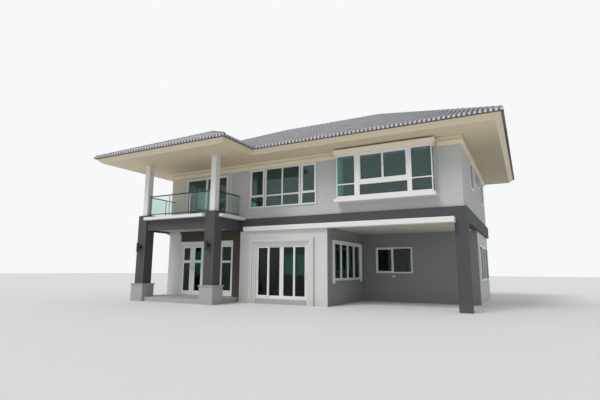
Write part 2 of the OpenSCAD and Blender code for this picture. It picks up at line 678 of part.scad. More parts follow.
// Windows
module upper_windows(part) {
  wins_front(front_wins, 0, part);
  wins_front(balcony_door, 0, part);
  wins_right(right_up_wins, 0, part);
  wins_left(left_up_wins, xl, part);
  wins_back(back_up_wins, yb, part);
}
module ground_windows(part) {
  wins_right(right_g_wins, 0, part);
  wins_left(left_g_wins, xl, part);
  wins_back(back_g_wins, yb, part);
  wins_right(cl_win, lx1, part);
  wins_front(cb_win, carport_d, part);
}
// Fin round the carport's long window, open below, with legs that reach below the sill
module carport_window_fin() difference() {
  box([lx1, fin_y[0], sill_z - fin_leg], [lx1 + fin_out, fin_y[1], fin_z]);
  box([lx1 - over, fin_y[0] + fin_t, sill_z - fin_leg - over],
    [lx1 + fin_out + over, fin_y[1] - fin_t, fin_z - fin_t]);
}
module upper_window_frames() color(white) place() upper_windows(0);
module upper_window_glass() color(teal) place() { upper_windows(1); bay_glass(); }
module ground_window_frames() color(white) place() { ground_windows(0); carport_window_fin(); }
module ground_window_glass() color(teal) place() {
  ground_windows(1);
  side_light_glass();
  fixed_leaf_glass();
}

// Entrance door
side_stile = 110;
side_rail = [1610, 1700];
side_y = 65;
module side_light_hole(z0, z1, y0, y1) box([sl_x0 + side_stile, y0, z0], [sl_x1 - side_stile, y1, z1]);
module side_light_holes(y0, y1) {
  side_light_hole(floor_z + 240, side_rail[0], y0, y1);
  side_light_hole(side_rail[1], entry_z - 270, y0, y1);
}
module side_light_glass() side_light_holes(side_y, side_y + pane_t);
module entrance_frame() color(white) place() {
  difference() {
    box([dx0, 10, floor_z], [dx1, hy, entry_z]);
    box([dx0 + jamb, 10 - over, floor_z + 20], [dx1 - jamb, hy + over, lz1 + gap]);
  }
  difference() {
    box([sl_x0, 10, floor_z], [sl_x1, t - 20, entry_z]);
    side_light_holes(10 - over, t);
    box([sl_x0 + jamb, 10 - over, floor_z + jamb], [sl_x1 - jamb, 30, entry_z - head_board]);
  }
}
module leaf_lights(x0, y0, y1) for (z = [[low_light, mid_rail[0]], [mid_rail[1], top_light]])
  box([x0 + stile_w, y0, z[0]], [x0 + leaf_w - stile_w, y1, z[1]]);
module leaf(x0) difference() {
  box([x0, dy0, lz0], [x0 + leaf_w, hy, lz1]);
  leaf_lights(x0, dy0 - over, hy + over);
}
module door_leaf_left() color(white) place() leaf(hx_l);
module door_leaf_right() color(white) place() leaf(hx_r - leaf_w);
module leaf_glass(x0) leaf_lights(x0, dy0 + leaf_t/2 - pane_t/2, dy0 + leaf_t/2 + pane_t/2);
module door_glass_left() color(teal) place() leaf_glass(hx_l);
module door_glass_right() color(teal) place() leaf_glass(hx_r - leaf_w);

// Hinges, whose pins stand in the gap beside the leaf and proud of its inner face
knuckle_r = 8;
pin_r = 5;
pin_clear = 0.3;
knuckle_h = 45;
flap_w = 38;
flap_t = 4;
axis_l = hx_l - gap/2;
axis_r = hx_r + gap/2;
axis_y = hy + 10;
hinge_z = [lz0 + 180, (lz0 + lz1)/2 - knuckle_h, lz1 - 180 - 2*knuckle_h];
// Frame side of a hinge: a plate, the lower knuckle and the pin; s is 1 or -1 towards the leaf
module hinge_fixed(x, s) for (z = hinge_z) {
  translate([x, axis_y, z]) cylinder(r = knuckle_r, h = knuckle_h, $fn = 40);
  translate([x, axis_y, z]) cylinder(r = pin_r, h = 2*knuckle_h + 4, $fn = 40);
  span(x, x - s*flap_w, [hy, z], [hy + flap_t, z + knuckle_h]);
}
// Leaf side: a plate and the upper knuckle that turns on the pin
module hinge_moving(x, s) for (z = hinge_z) translate([0, 0, z + knuckle_h + pin_clear]) difference() {
  union() {
    translate([x, axis_y, 0]) cylinder(r = knuckle_r, h = knuckle_h - pin_clear, $fn = 40);
    span(x, x + s*flap_w, [hy, 0], [hy + flap_t, knuckle_h - pin_clear]);
  }
  translate([x, axis_y, -over]) cylinder(r = pin_r + pin_clear, h = knuckle_h + 2*over, $fn = 40);
}
module door_hinges() color(steel) place() { hinge_fixed(axis_l, 1); hinge_fixed(axis_r, -1); }
module hinge_leaves_left() color(steel) place() hinge_moving(axis_l, 1);
module hinge_leaves_right() color(steel) place() hinge_moving(axis_r, -1);

// Lever handles on both faces of each leaf; s is 1 or -1 from the meeting edge towards the hinge
handle_z = [1270, 1500];
handle_in = 70;                             // from the meeting edge to the handle's spindle
handle_w = 40;
rose_t = 5;
lever_out = 50;
lever_len = 115;
module handle(x, y, s, side) {
  spindle_z = handle_z[1] - 80;
  plate = [y, y + side*rose_t];
  bar = [y + side*(lever_out - 14), y + side*lever_out];
  box([x - handle_w/2, min(plate), handle_z[0]], [x + handle_w/2, max(plate), handle_z[1]]);
  translate([x, y, spindle_z]) rotate([-90*side, 0, 0]) cylinder(r = 9, h = lever_out, $fn = 32);
  span(x, x + s*lever_len, [min(bar), spindle_z - 9], [max(bar), spindle_z + 9]);
}
module handles(x, s) { handle(x, dy0, s, -1); handle(x, hy, s, 1); }
module door_handles_left() color(steel) place() handles(hx_l + leaf_w - handle_in, -1);
module door_handles_right() color(steel) place() handles(hx_r - leaf_w + handle_in, 1);

// Sliding door
// One leaf from x0 to x1 with its face at y, with the widths of its left and right uprights
module leaf_ring(x0, x1, y, z0, z1, a, b) difference() {
  box([x0, y, z0], [x1, y + st, z1]);
  box([x0 + a, y - over, z0 + s_low], [x1 - b, y + st + over, z1 - s_top]);
}
module leaf_pane(x0, x1, y, z0, z1, a, b)
  box([x0 + a, y + st/2 - pane_t/2, z0 + s_low], [x1 - b, y + st/2 + pane_t/2, z1 - s_top]);
fz0 = floor_z + sf;
fz1 = head_z - sf;
s_mid = 90;                                 // uprights of the fixed leaves that meet in the middle
module slide_frame() color(white) place() {
  difference() {
    box([sx0, sy0, floor_z], [sx1, sy0 + sfd, head_z]);
    box([sx0 + sf, sy0 - over, fz0], [sx1 - sf, sy0 + sfd + over, fz1]);
  }
  leaf_ring(smid - fixed_w, smid + over/2, sfy, fz0, fz1, s_stile, s_mid);
  leaf_ring(smid - over/2, smid + fixed_w, sfy, fz0, fz1, s_mid, s_stile);
}
module fixed_leaf_glass() {
  leaf_pane(smid - fixed_w, smid, sfy, fz0, fz1, s_stile, s_mid);
  leaf_pane(smid, smid + fixed_w, sfy, fz0, fz1, s_mid, s_stile);
}
sil = smid - fixed_w + s_lap;               // inner edges of the sliding leaves
sir = smid + fixed_w - s_lap;
s_jamb = 50;                                // uprights of a sliding leaf: at the jamb, and s_stile at the lap
roller_r = 14;
seat = 0.3;
// Two rollers under a sliding leaf, let into its bottom rail and standing on the track
module rollers(x0, x1) for (x = [x0 + 90, x1 - 90]) translate([x, sly + 12, slz0 - gap + seat + roller_r])
  rotate([-90, 0, 0]) cylinder(r = roller_r, h = st - 24, $fn = 40);
// Pull handle on a sliding leaf's upright beside the jamb
pull_z = [1010, 1240];
pull_w = 22;
pull_out = 45;
pull_t = 12;
module pull(x) difference() {
  box([x - pull_w/2, sly - pull_out, pull_z[0]], [x + pull_w/2, sly + over, pull_z[1]]);
  box([x - pull_w, sly - pull_out + pull_t, pull_z[0] + 2*pull_t], [x + pull_w, sly, pull_z[1] - 2*pull_t]);
}
module slide_leaf_left() color(white) place() union() {
  leaf_ring(sjl, sil, sly, slz0, slz1, s_jamb, s_stile);
  rollers(sjl, sil);
  pull(sjl + s_jamb/2);
}
module slide_leaf_right() color(white) place() union() {
  leaf_ring(sir, sjr, sly, slz0, slz1, s_stile, s_jamb);
  rollers(sir, sjr);
  pull(sjr - s_jamb/2);
}
module slide_glass_left() color(teal) place() leaf_pane(sjl, sil, sly, slz0, slz1, s_jamb, s_stile);
module slide_glass_right() color(teal) place() leaf_pane(sir, sjr, sly, slz0, slz1, s_stile, s_jamb);

ground_floor();
porch_floor();
entrance_wall_left();
entrance_wall_right();
entrance_panel();
living_wall_left();
living_wall_right();
living_lintel();
left_wall();
back_wall();
right_wall();
carport_left_wall();
carport_back_wall();
carport_column();
carport_ceiling();
downlights();
porch_columns();
porch_plinths();
porch_beams();
porch_ceiling();
wall_lamps();
upper_floor();
floor_band();
front_ledge();
balcony_slab();
balcony_edge();
balcony_posts();
balcony_rails();
balcony_stanchions();
balcony_glass();
balcony_wall();
upper_wall_front();
upper_wall_right();
upper_wall_back();
upper_wall_left();
cornice();
eaves();
roof();
ridge_caps();
box_window();
upper_window_frames();
upper_window_glass();
ground_window_frames();
ground_window_glass();
entrance_frame();
slide_frame();
slide_surround();
door_hinges();
door_leaf_left();
door_glass_left();
hinge_leaves_left();
door_handles_left();
door_leaf_right();
door_glass_right();
hinge_leaves_right();
door_handles_right();
slide_leaf_left();
slide_glass_left();
slide_leaf_right();
slide_glass_right();
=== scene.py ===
# The looks of a two-storey detached house: finishes for every part, and the roof tiles, caps,
# valley, eaves bead, seals, floor tiles, lamp lenses and small hardware left to this script.
# Lengths are metres in the part's own frame: X right along the front, Y to the back, Z up.
import json
import math
import random

import bmesh
import bpy
from mathutils import Matrix, Vector


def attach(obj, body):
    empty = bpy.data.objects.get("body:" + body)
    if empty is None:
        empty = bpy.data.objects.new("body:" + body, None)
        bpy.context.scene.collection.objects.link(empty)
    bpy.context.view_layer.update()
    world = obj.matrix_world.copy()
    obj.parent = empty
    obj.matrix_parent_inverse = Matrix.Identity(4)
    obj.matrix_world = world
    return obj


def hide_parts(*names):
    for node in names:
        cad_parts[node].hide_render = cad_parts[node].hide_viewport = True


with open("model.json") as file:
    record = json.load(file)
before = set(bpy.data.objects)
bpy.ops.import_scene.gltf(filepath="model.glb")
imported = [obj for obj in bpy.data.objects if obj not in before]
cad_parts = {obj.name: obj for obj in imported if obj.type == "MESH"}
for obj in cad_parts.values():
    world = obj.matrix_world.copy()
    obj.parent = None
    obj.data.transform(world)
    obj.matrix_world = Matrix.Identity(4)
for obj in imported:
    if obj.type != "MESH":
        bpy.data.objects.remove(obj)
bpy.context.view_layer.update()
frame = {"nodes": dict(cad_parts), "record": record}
nodes = frame["nodes"]
scene = bpy.context.scene
UP = Vector((0, 0, 1))

# The camera: where it stands, how it is turned in degrees, its lens and picture width in mm, and
# how far it sees
CAMERA_AT = Vector((8.267, -17.649, 1.299))
CAMERA_YAW = 28.353
CAMERA_PITCH = 9.557
CAMERA_ROLL = 0.368
CAMERA_LENS = 25.127
SENSOR_WIDTH = 36
VIEW_REACH = 500

# The studio: a plain floor, a pale backdrop, an even sky light, and two soft suns, each with its
# name, the way its light travels, its strength, its spread in degrees and its colour
STAGE_HALF = 120
STAGE_COLOR = (0.80, 0.80, 0.79)
STAGE_ROUGHNESS = 0.9
BACKDROP = (0.93, 0.94, 0.95)
SKY_COLOR = (0.93, 0.96, 1)
SKY_STRENGTH = 0.57
SUNS = (("key", (0.25, 0.75, -0.85), 1.3, 25, (1, 0.98, 0.95)),
        ("fill", (0.1, 0.95, -0.22), 0.2, 60, (1, 0.98, 0.94)))


def make_camera():
    yaw, pitch, roll = (math.radians(a) for a in (CAMERA_YAW, CAMERA_PITCH, CAMERA_ROLL))
    forward = Vector((-math.sin(yaw) * math.cos(pitch), math.cos(yaw) * math.cos(pitch),
                      math.sin(pitch)))
    level = Vector((math.cos(yaw), math.sin(yaw), 0))
    above = level.cross(forward)
    right = level * math.cos(roll) + above * math.sin(roll)
    up = above * math.cos(roll) - level * math.sin(roll)
    data = bpy.data.cameras.new("camera")
    data.sensor_width = SENSOR_WIDTH
    data.lens = CAMERA_LENS
    data.clip_end = VIEW_REACH
    camera = bpy.data.objects.new("camera", data)
    turn = Matrix((right, up, -forward)).transposed().to_4x4()
    camera.matrix_world = Matrix.Translation(CAMERA_AT) @ turn
    scene.collection.objects.link(camera)
    scene.camera = camera


def make_sun(name, direction, strength, spread, color):
    data = bpy.data.lights.new(name, "SUN")
    data.energy = strength
    data.angle = math.radians(spread)
    data.color = color
    lamp = bpy.data.objects.new(name, data)
    lamp.rotation_euler = Vector(direction).to_track_quat("-Z", "Y").to_euler()
    scene.collection.objects.link(lamp)


def make_world():
    """A sky that lights the scene, and a plain backdrop that is seen, mirrored and looked through to."""
    world = bpy.data.worlds.new("studio")
    scene.world = world
    world.use_nodes = True
    tree = world.node_tree
    tree.nodes.clear()
    out = tree.nodes.new("ShaderNodeOutputWorld")
    mix = tree.nodes.new("ShaderNodeMixShader")
    rays = tree.nodes.new("ShaderNodeLightPath")
    light = tree.nodes.new("ShaderNodeBackground")
    light.inputs["Strength"].default_value = SKY_STRENGTH
    light.inputs["Color"].default_value = (*SKY_COLOR, 1)
    seen = tree.nodes.new("ShaderNodeBackground")
    seen.inputs["Color"].default_value = (*BACKDROP, 1)
    shown = rays.outputs["Is Camera Ray"]
    for kind in ("Is Glossy Ray", "Is Transmission Ray"):
        either = tree.nodes.new("ShaderNodeMath")
        either.operation = "MAXIMUM"
        tree.links.new(shown, either.inputs[0])
        tree.links.new(rays.outputs[kind], either.inputs[1])
        shown = either.outputs[0]
    tree.links.new(shown, mix.inputs[0])
    tree.links.new(light.outputs[0], mix.inputs[1])
    tree.links.new(seen.outputs[0], mix.inputs[2])
    tree.links.new(mix.outputs[0], out.inputs[0])


def make_floor():
    half = STAGE_HALF
    corners = [(-half, -half, 0), (half, -half, 0), (half, half, 0), (-half, half, 0)]
    mesh = bpy.data.meshes.new("stage_floor")
    mesh.from_pydata(corners, [], [(0, 1, 2, 3)])
    floor = bpy.data.objects.new("stage_floor", mesh)
    scene.collection.objects.link(floor)
    made = Shader("stage_paint")
    made.set(Base_Color=(*STAGE_COLOR, 1), Roughness=STAGE_ROUGHNESS)
    mesh.materials.append(made.material)


# Sockets of the nodes that have no plain names: Mix for colours, and Map Range
MIX_FACTOR, MIX_A, MIX_B, MIX_RESULT = 0, 6, 7, 2
FROM_LOW, FROM_HIGH, TO_LOW, TO_HIGH = 1, 2, 3, 4
# Most values of a noise lie between these
NOISE_LOW, NOISE_HIGH = 0.3, 0.7


class Shader:
    """A material's node tree with short calls for the nodes used here."""

    def __init__(self, name):
        self.material = bpy.data.materials.new(name)
        self.material.use_nodes = True
        self.tree = self.material.node_tree
        self.tree.nodes.clear()
        out = self.node("ShaderNodeOutputMaterial")
        self.bsdf = self.node("ShaderNodeBsdfPrincipled")
        self.link(self.bsdf.outputs[0], out.inputs[0])
        self.place = self.node("ShaderNodeTexCoord").outputs["Object"]

    def node(self, kind, **values):
        made = self.tree.nodes.new(kind)
        for key, value in values.items():
            if key in made.inputs:
                made.inputs[key].default_value = value
            else:
                setattr(made, key, value)
        return made

    def link(self, a, b):
        self.tree.links.new(a, b)

    def set(self, **values):
        for key, value in values.items():
            self.bsdf.inputs[key.replace("_", " ")].default_value = value

    def color(self, socket):
        self.link(socket, self.bsdf.inputs["Base Color"])

    def stretched(self, scale):
        move = self.node("ShaderNodeMapping")
        move.inputs["Scale"].default_value = scale
        self.link(self.place, move.inputs["Vector"])
        return move.outputs[0]

    def noise(self, scale, detail=4, rough=0.55, place=None):
        made = self.node("ShaderNodeTexNoise", Scale=scale, Detail=detail, Roughness=rough)
        self.link(place or self.place, made.inputs["Vector"])
        return made.outputs["Fac"]

    def between(self, value, low, high, to_low=0, to_high=1):
        made = self.node("ShaderNodeMapRange")
        for socket, number in ((FROM_LOW, low), (FROM_HIGH, high), (TO_LOW, to_low), (TO_HIGH, to_high)):
            made.inputs[socket].default_value = number
        self.link(value, made.inputs[0])
        return made.outputs[0]

    def patches(self, scale, detail=4, rough=0.55, to_low=0, to_high=1):
        """Noise whose common values fill the range from to_low to to_high."""
        return self.between(self.noise(scale, detail, rough), NOISE_LOW, NOISE_HIGH, to_low, to_high)

    def blend(self, factor, a, b):
        made = self.node("ShaderNodeMix", data_type="RGBA")
        self.link(factor, made.inputs[MIX_FACTOR])
        for socket, color in ((MIX_A, a), (MIX_B, b)):
            if isinstance(color, bpy.types.NodeSocket):
                self.link(color, made.inputs[socket])
            else:
                made.inputs[socket].default_value = (*color, 1)
        return made.outputs[MIX_RESULT]

    def bump(self, height, strength, distance, after=None):
        made = self.node("ShaderNodeBump", Strength=strength, Distance=distance)
        self.link(height, made.inputs["Height"])
        if after:
            self.link(after, made.inputs["Normal"])
        self.link(made.outputs[0], self.bsdf.inputs["Normal"])
        return made.outputs[0]

    def attribute(self, name):
        return self.node("ShaderNodeAttribute", attribute_name=name).outputs["Fac"]

    def axis(self, name):
        split = self.node("ShaderNodeSeparateXYZ")
        self.link(self.place, split.inputs[0])
        return split.outputs[name]

    def maths(self, kind, a, b):
        made = self.node("ShaderNodeMath", operation=kind)
        for i, value in enumerate((a, b)):
            if isinstance(value, bpy.types.NodeSocket):
                self.link(value, made.inputs[i])
            else:
                made.inputs[i].default_value = value
        return made.outputs[0]

    def within(self, *ranges):
        """1 inside a box, given by its ends along X, Y and Z, else 0; None leaves a side open."""
        inside = 1.0
        for axis, ends in zip("XYZ", ranges):
            for kind, plane in zip(("GREATER_THAN", "LESS_THAN"), ends):
                if plane is not None:
                    passed = self.maths(kind, self.axis(axis), plane)
                    inside = self.maths("MULTIPLY", passed, inside)
        return inside


def shade(color, by):
    return tuple(min(1, c * by) for c in color)


def box(x=(None, None), y=(None, None), z=(None, None)):
    """A test for places: called with a Shader, it gives 1 inside the box, else 0."""
    return lambda made: made.within(x, y, z)


# Boxes that tell one finish from the next on parts that are painted in more than one
SOFFIT_Z = 5.85                                                 # underside of the eaves
house_inside = box(x=(-6.42, 6.42), y=(-2.99, 4.86), z=(0.19, 5.9))
carport = box(x=(1.675, None), y=(None, 0.54), z=(None, 3.1))
back_wall = box(y=(4.7, None))
left_wall = box(x=(None, -6.37))
pier_side = box(x=(1.749, None), y=(None, -3.2))                # face of the living room to the carport
boxed_eaves = box(z=(SOFFIT_Z - 0.001, None))
right_soffit = box(x=(6.4, None), z=(SOFFIT_Z - 0.001, SOFFIT_Z + 0.002))
# A painted shadow: the dark line under the cornice's upper step
cornice_shadow_line = box(z=(5.718, 5.744))                            # dark line between its two steps
slide_border = box(z=(None, 3.0))                               # the border round the sliding door
bay_hood = box(x=(1.9, None), z=(5.585, None))
# The strip of the floor band that shows under the porch ceiling, over the cladding and the wall
over_cladding = box(x=(-5.83, -1.9), y=(-3.4, -3.0), z=(None, 3.021))
over_white = box(x=(-6.45, -5.83), y=(-3.4, -3.0), z=(None, 3.021))


def inside_rooms(made):
    """1 behind the inner faces of the walls, else 0."""
    return made.maths("MULTIPLY", house_inside(made), made.maths("SUBTRACT", 1.0, carport(made)))


def far_walls(made):
    """1 in the left and back walls."""
    return made.maths("MAXIMUM", back_wall(made), left_wall(made))


def shaded_soffit(made):
    """Painted shade under the right eaves: grows from 0 to 1 from the front corner to the back."""
    return made.maths("MULTIPLY", right_soffit(made), made.between(made.axis("Y"), -4.2, -1.2))


DUST = (0.30, 0.27, 0.23)
SPLASHED = 0.34                 # dust lies on the walls up to this height
RUNS = (9, 9, 0.5)              # rain marks are narrow and tall


def weathered(made, color, drift):
    """The colour of a painted wall: a slow drift, rolled patches, faint rain marks and a dusty foot."""
    darker = shade(color, 1 - drift)
    tone = made.blend(made.patches(0.55, 3), darker, shade(color, 1 + drift * 0.6))
    tone = made.blend(made.patches(6, 5, 0.6, to_high=0.35), tone, darker)
    marks = made.between(made.noise(1, 4, 0.6, made.stretched(RUNS)), 0.52, 0.78, 0, 0.30)
    tone = made.blend(marks, tone, shade(color, 0.86))
    foot = made.between(made.axis("Z"), 0.0, SPLASHED, 0.42, 0)
    dust = made.maths("MULTIPLY", foot, made.patches(5, 4, to_low=0.3))
    dusty = tuple(c * 0.6 + d * 0.4 for c, d in zip(shade(color, 0.7), DUST))
    return made.blend(dust, tone, dusty)


def render_paint(name, color, depth=0.0012, rough=0.85, drift=0.05, room=None, others=()):
    """Painted render with a fine sandy grain of the given depth. room is the deeper tone painted on its
    faces inside the house, a painted shade for the unlit rooms. others are (colour, test): further
    colours, each laid on by test(made), from 0 to 1."""
    made = Shader(name)
    made.set(Roughness=rough)
    tone = weathered(made, color, drift)
    for second, test in others:
        tone = made.blend(test(made), tone, weathered(made, second, drift))
    if room:
        # Painted shade: faces inside the house take the deeper tone of the unlit rooms
        room_shade = made.blend(made.patches(0.8, 3), shade(room, 0.9), room)
        tone = made.blend(inside_rooms(made), tone, room_shade)
    made.color(tone)
    rolled = made.bump(made.noise(38, 3), 0.25, depth * 2)
    made.bump(made.noise(260, 5, 0.65), 0.55, depth, after=rolled)
    return made.material


def gloss_paint(name, color, rough=0.35, metal=0.0):
    """Powder coated metal: smooth, with a faint orange peel."""
    made = Shader(name)
    made.set(Roughness=rough, Metallic=metal)
    made.color(made.blend(made.patches(3), shade(color, 0.96), color))
    made.bump(made.noise(420, 2), 0.12, 0.0004)
    return made.material


def tinted_glass(name, color, bend, clear=1.0, deep=0.3):
    """Tinted pane that lets the dark rooms show. A higher bend (refractive index) mirrors more.
    The panes of the left and back walls are tinted deeper by `deep`."""
    made = Shader(name)
    made.set(Roughness=0.02, IOR=bend, Transmission_Weight=clear, Specular_IOR_Level=0.4)
    pane = made.blend(made.between(made.noise(0.9, 2), 0.35, 0.65), shade(color, 0.93), color)
    made.color(made.blend(far_walls(made), pane, shade(color, deep)))
    made.bump(made.noise(1.6, 1), 0.04, 0.01)
    return made.material


def speckled(made, color, body):
    """The grain of clay: a rough surface, and light specks over the body's colour."""
    made.bump(made.noise(160, 4), 0.3, 0.001)
    specks = made.between(made.noise(210, 2), 0.55, 0.7, 0, 0.35)
    return made.blend(specks, body, shade(color, 1.3))


def tile_clay(name, color):
    """Concrete tiles: each has its own tone, with painted shade in the troughs and at the overlaps."""
    made = Shader(name)
    made.set(Roughness=0.55, Specular_IOR_Level=0.3, Coat_Weight=0.06, Coat_Roughness=0.2)
    body = made.blend(made.attribute("tone"), shade(color, 0.90), shade(color, 1.08))
    body = made.blend(made.patches(1.3, 5, to_high=0.3), body, shade(color, 0.8))
    # Painted shade: darker towards the troughs and where a tile passes under the next course
    crest = made.between(made.attribute("crest"), 0.35, 0.8)
    made.color(made.blend(crest, shade(color, 0.2), speckled(made, color, body)))
    return made.material


def cap_clay(name, color):
    """The darker, glossier glaze of the caps, the valley and the roof's own faces and edges."""
    made = Shader(name)
    made.set(Roughness=0.4, Coat_Weight=0.3, Coat_Roughness=0.3)
    body = made.blend(made.patches(2.4, 5), shade(color, 0.85), shade(color, 1.1))
    made.color(speckled(made, color, body))
    return made.material


# Unlit rooms look dark from outside, so their faces are painted in a deeper tone
ROOM = (0.17, 0.165, 0.15)
ROOM_CREAM = (0.30, 0.29, 0.26)
ROOM_FLOOR = (0.15, 0.13, 0.11)
WHITE = (0.645, 0.66, 0.65)
DUSK = (0.255, 0.262, 0.262)
BROWN = (0.075, 0.06, 0.048)
HOOD_CREAM = (0.88, 0.82, 0.68)
CREAM_COLORS = [((0.75, 0.65, 0.47), boxed_eaves), ((0.50, 0.46, 0.31), shaded_soffit),
                ((0.34, 0.31, 0.20), cornice_shadow_line), ((0.68, 0.68, 0.63), slide_border)]

PAINTS = {
    "grey_wall": render_paint("grey_render", (0.53, 0.545, 0.545), room=ROOM),
    "carport_wall": render_paint("dusk_render", DUSK, room=ROOM),
    "white_wall": render_paint("white_render", WHITE, room=ROOM, others=[(DUSK, pier_side)]),
    "cream_wall": render_paint("cream_render", (0.66, 0.63, 0.53), room=ROOM),
    "brown_cladding": render_paint("brown_render", BROWN, room=ROOM),
    "charcoal_paint": render_paint("charcoal_render", (0.075, 0.075, 0.082),
                                   others=[(BROWN, over_cladding), (WHITE, over_white)]),
    "ceiling": render_paint("ceiling_board", (0.56, 0.54, 0.47), depth=0.0005),
    "plinth": render_paint("plinth_render", (0.40, 0.40, 0.39)),
    "floor": render_paint("floor_concrete", (0.42, 0.42, 0.41), depth=0.0008, room=ROOM_FLOOR),
    "white_trim": render_paint("white_paint", (0.80, 0.80, 0.78), depth=0.0004, rough=0.6,
                               drift=0.03, others=[(HOOD_CREAM, bay_hood)]),
    "cream_trim": render_paint("cream_board", (0.86, 0.78, 0.60), depth=0.0004, rough=0.7,
                               drift=0.03, room=ROOM_CREAM, others=CREAM_COLORS),
    "white_frame": gloss_paint("white_coat", (0.78, 0.79, 0.79)),
    "lamp_white": gloss_paint("lamp_coat", (0.80, 0.79, 0.74)),
    "black_metal": gloss_paint("black_coat", (0.02, 0.02, 0.022), 0.4),
    "steel": gloss_paint("steel_finish", (0.55, 0.55, 0.56), 0.3, 1.0),
    "glass": tinted_glass("green_glass", (0.38, 0.77, 0.77), 1.42, 0.97),
    "roof_tiles": cap_clay("cap_clay", (0.22, 0.215, 0.24)),
}
TILE_PAINT = tile_clay("tile_clay", (0.56, 0.545, 0.58))
# The balcony's panes are nearly clear. Those downstairs mirror little: they face the garden
BALCONY_GLASS = tinted_glass("clear_glass", (0.80, 0.92, 0.87), 1.45, deep=1)
GROUND_GLASS = tinted_glass("shaded_glass", (0.24, 0.56, 0.45), 1.26, deep=0.12)
OTHER_GLASS = {
    "balcony_glass": BALCONY_GLASS,
    "ground_window_glass": GROUND_GLASS,
    "door_glass_left": GROUND_GLASS,
    "door_glass_right": GROUND_GLASS,
    "slide_glass_left": GROUND_GLASS,
    "slide_glass_right": GROUND_GLASS,
}


def paint_nodes():
    for part in frame["record"]["subparts"]:
        data = nodes[part["node"]].data
        data.materials.clear()
        data.materials.append(OTHER_GLASS.get(part["node"]) or PAINTS[part["material_slot"]])


# A domed plate, from its foot up: shares of its radius, its thickness and its dome's height
DOME_STEPS = ((1, 0, 0), (1, 1, 0), (0.8, 1, 0.45), (0.45, 1, 0.85), (0.08, 1, 1))


def circle(side, up, radius, sides):
    turn = [math.tau * k / sides for k in range(sides)]
    return [(side * math.cos(t) + up * math.sin(t)) * radius for t in turn]


class Builder:
    """Collects faces of one piece, then makes its object, which rides on a body."""

    def __init__(self):
        self.bm = bmesh.new()

    def solid(self, points, faces):
        verts = [self.bm.verts.new(p) for p in points]
        for face in faces:
            self.bm.faces.new([verts[i] for i in face])
        return verts

    def block(self, low, high, edge):
        """A block whose edges are rounded by `edge`."""
        (x0, y0, z0), (x1, y1, z1) = low, high
        points = [(x, y, z) for x in (x0, x1) for y in (y0, y1) for z in (z0, z1)]
        faces = [(0, 1, 3, 2), (4, 6, 7, 5), (0, 4, 5, 1), (2, 3, 7, 6), (0, 2, 6, 4), (1, 5, 7, 3)]
        verts = self.solid(points, faces)
        edges = list(dict.fromkeys(e for v in verts for e in v.link_edges))
        bmesh.ops.bevel(self.bm, geom=edges, offset=edge, segments=2, affect="EDGES", profile=0.6)

    def loft(self, rings):
        """A closed solid through rings of the same number of points."""
        count = len(rings[0])
        points = [p for ring in rings for p in ring]
        faces = [tuple(range(count))[::-1], tuple(range(len(points) - count, len(points)))]
        for i in range(len(rings) - 1):
            for j in range(count):
                a, b = i * count + j, i * count + (j + 1) % count
                faces.append((a, b, b + count, a + count))
        self.solid(points, faces)

    def tube(self, points, radius, sides=12):
        """A round bar along points."""
        points = [Vector(p) for p in points]
        aside = Vector((0.31, 0.17, 0.93))      # any direction that no bar here follows
        rings = []
        for i, p in enumerate(points):
            ahead = (points[min(i + 1, len(points) - 1)] - points[max(i - 1, 0)]).normalized()
            side = ahead.cross(aside).normalized()
            rings.append([p + q for q in circle(side, side.cross(ahead), radius, sides)])
        self.loft(rings)

    def disc(self, centre, radius, axis, thick, dome, sides=32):
        """A round plate whose far face is domed."""
        centre, axis = Vector(centre), Vector(axis)
        side = axis.orthogonal().normalized()
        rings = []
        for wide, through, high in DOME_STEPS:
            at = centre + axis * (thick * through + dome * high)
            rings.append([at + q * wide for q in circle(side, axis.cross(side), radius, sides)])
        self.loft(rings)

    def finish(self, name, body, slot, smooth=40, replaces=(), paint=None):
        """Makes the object; edges sharper than `smooth` degrees stay sharp."""
        bmesh.ops.recalc_face_normals(self.bm, faces=self.bm.faces)
        mesh = bpy.data.meshes.new(name)
        self.bm.to_mesh(mesh)
        self.bm.free()
        mesh.shade_smooth()
        mesh.set_sharp_from_angle(angle=math.radians(smooth))
        piece = bpy.data.objects.new(name, mesh)
        scene.collection.objects.link(piece)
        mesh.materials.append(paint or PAINTS[slot])
        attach(piece, body)
        if replaces:
            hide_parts(*replaces)


# The roof, as in the part: its edges, the height of its top there, its slope and its runs
EX0, EX1, EY0, EY1 = -7.9, 7.9, -4.465, 6.335           # edges of the main roof
WEX1, WEY0 = -0.97, -6.335                              # right and front edge of the wing's roof
EDGE_Z, PITCH = 6.065, 0.474
MAIN, WING = 5.4, 3.465                                 # level distance from the edge to the ridge
MAIN_TOP = EDGE_Z + MAIN * PITCH
WING_TOP = EDGE_Z + WING * PITCH
RIDGE_Y = EY0 + MAIN
RIDGE_LEFT, RIDGE_RIGHT = EX0 + MAIN, EX1 - MAIN
WING_X = EX0 + WING
WING_START, WING_END = WEY0 + WING, EY0 + WING          # ends of the wing's ridge

RIB = 0.15                  # width of one rib of the tiles
RIB_HEIGHT = 0.037
COURSE = 0.30               # one course of tiles, measured level
STEP = 0.026                # the lower end of a course stands this far over the course below
OVERLAP_SHADE = 0.45        # how light a tile still is where it passes under the next course
BASE = 0.004                # a trough's height over the roof's own face
OVERHANG = 0.04             # the lowest course reaches this far past the roof's edge
UNDER = 0.022               # the tiles' underside lies this far inside the roof
SPARE_RIBS = 2              # ribs past each end of a slope, which the cuts at its hips take away
RIBS_PER_TILE = 2
SWELL = (-0.05, 0.09)       # how much flatter or taller a tile's ribs are at its lower end
VALLEY_GAP = 0.055          # bare strip on each side of the valley
FRONT_SHIFT = 0.015         # the front's ribs start this far left of the wing's ridge
RIB_SHAPE = ((0, 0), (0.11, 0.001), (0.18, 0.014), (0.25, 0.026), (0.36, 0.034), (0.5, RIB_HEIGHT),
             (0.64, 0.034), (0.75, 0.026), (0.82, 0.014), (0.89, 0.001))


